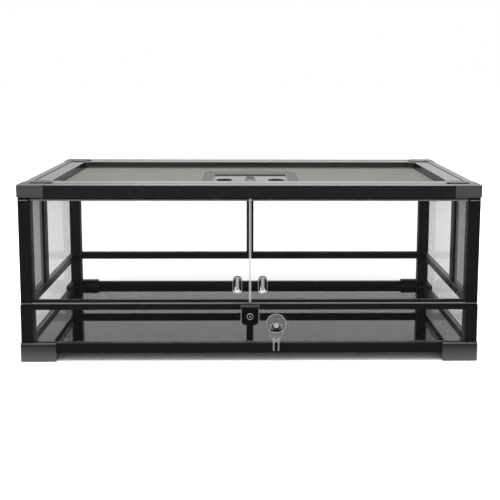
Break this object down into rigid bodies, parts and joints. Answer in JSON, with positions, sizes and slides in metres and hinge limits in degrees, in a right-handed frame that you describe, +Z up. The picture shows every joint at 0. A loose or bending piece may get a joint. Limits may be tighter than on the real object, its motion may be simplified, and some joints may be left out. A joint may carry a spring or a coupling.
{
  "type": "terrarium cabinet",
  "caption": "Low, wide glass case with a framed body on corner feet, hinged glass front doors with a central lock, side vents and a lift-out screen lid with a hatch.",
  "frame": {"origin": "on the ground under the middle of the whole case, handles included", "axes": "+X along the long front to the right, +Y to the back, +Z up"},
  "size_m": [1.2254, 0.6294, 0.4776],
  "materials": {
    "frame_plastic": "satin black",
    "lid_plastic": "satin black, top faces catch the light",
    "corner_plastic": "fine-grained dark grey",
    "floor_panel": "gloss black",
    "glass": "clear",
    "clear_plastic": "clear moulded plastic",
    "mesh": "fine woven mesh",
    "lock_plastic": "satin black",
    "slider_plastic": "grey",
    "key_steel": "bright plated steel"
  },
  "bodies": {
    "cabinet": {"back_glass_left": "glass", "back_glass_right": "glass", "base_rail_back": "frame_plastic", "base_rail_front": "frame_plastic", "base_rail_left": "frame_plastic", "base_rail_right": "frame_plastic", "belt_rail_back": "frame_plastic", "belt_rail_front": "frame_plastic", "belt_rail_left": "frame_plastic", "belt_rail_right": "frame_plastic", "floor_panel": "floor_panel", "foot_back_left": "corner_plastic", "foot_back_right": "corner_plastic", "foot_front_left": "corner_plastic", "foot_front_right": "corner_plastic", "lock_body": "lock_plastic", "lower_glass_back": "glass", "lower_glass_front": "glass", "lower_glass_left": "glass", "lower_glass_right": "glass", "mullion_back": "frame_plastic", "mullion_left": "frame_plastic", "mullion_right": "frame_plastic", "post_back_left": "frame_plastic", "post_back_right": "frame_plastic", "post_front_left": "frame_plastic", "post_front_right": "frame_plastic", "side_glass_left": "glass", "side_glass_right": "glass", "suction_cup": "clear_plastic", "top_corner_back_left": "corner_plastic", "top_corner_back_right": "corner_plastic", "top_corner_front_left": "corner_plastic", "top_corner_front_right": "corner_plastic", "top_rail_back": "frame_plastic", "top_rail_front": "frame_plastic", "top_rail_left": "frame_plastic", "top_rail_right": "frame_plastic", "vent_left": "mesh", "vent_right": "mesh"},
    "door_left": {"door_stile_left": "frame_plastic", "door_glass_left": "glass", "door_handle_left": "clear_plastic"},
    "door_right": {"door_stile_right": "frame_plastic", "door_glass_right": "glass", "door_handle_right": "clear_plastic"},
    "latch": {"lock_latch": "lock_plastic"},
    "cylinder": {"lock_cylinder": "key_steel"},
    "screen_lid": {"lid_rail_front": "lid_plastic", "lid_rail_back": "lid_plastic", "lid_rail_left": "lid_plastic", "lid_rail_right": "lid_plastic", "lid_mesh": "mesh", "hatch_frame": "lid_plastic"},
    "hatch": {"hatch_cover": "lid_plastic"},
    "slider": {"hatch_slider": "slider_plastic"},
    "ring": {"key_ring": "key_steel"},
    "key_a": {"key_left": "key_steel"},
    "key_b": {"key_right": "key_steel"}
  },
  "joints": [
    {"name": "door_left_hinge", "type": "hinge", "parent": "cabinet", "child": "door_left", "pos_m": [-0.6037, -0.292, 0.1583], "axis": [0, 0, -1], "range_deg": [0, 110]},
    {"name": "door_right_hinge", "type": "hinge", "parent": "cabinet", "child": "door_right", "pos_m": [0.6037, -0.292, 0.1583], "axis": [0, 0, 1], "range_deg": [0, 110]},
    {"name": "cylinder_turn", "type": "hinge", "parent": "cabinet", "child": "cylinder", "pos_m": [0, -0.3123, 0.128], "axis": [0, 1, 0], "range_deg": [0, 90]},
    {"name": "latch_slide", "type": "slide", "parent": "cabinet", "child": "latch", "axis": [0, 0, 1], "range_m": [0, 0.006]},
    {"name": "lid_lift", "type": "slide", "parent": "cabinet", "child": "screen_lid", "axis": [0, 0, 1], "range_m": [0, 0.15]},
    {"name": "hatch_hinge", "type": "hinge", "parent": "screen_lid", "child": "hatch", "pos_m": [0, 0.0397, 0.4605], "axis": [-1, 0, 0], "range_deg": [0, 100]},
    {"name": "slider_slide", "type": "slide", "parent": "hatch", "child": "slider", "axis": [0, -1, 0], "range_m": [0, 0.0035]},
    {"name": "ring_swing", "type": "hinge", "parent": "cabinet", "child": "ring", "pos_m": [0.07, -0.3023, 0.1034], "axis": [0, 1, 0], "range_deg": [-25, 25]},
    {"name": "key_a_swing", "type": "hinge", "parent": "ring", "child": "key_a", "pos_m": [0.0635, -0.3023, 0.06186], "axis": [-0.829, -0.5592, 0], "range_deg": [0, 15]},
    {"name": "key_b_swing", "type": "hinge", "parent": "ring", "child": "key_b", "pos_m": [0.0765, -0.3023, 0.06186], "axis": [-0.829, 0.5592, 0], "range_deg": [0, 15]}
  ],
  "couplings": [
    {"joint": "latch_slide", "follows": "cylinder_turn", "m_per_rad": 0.0038}
  ]
}
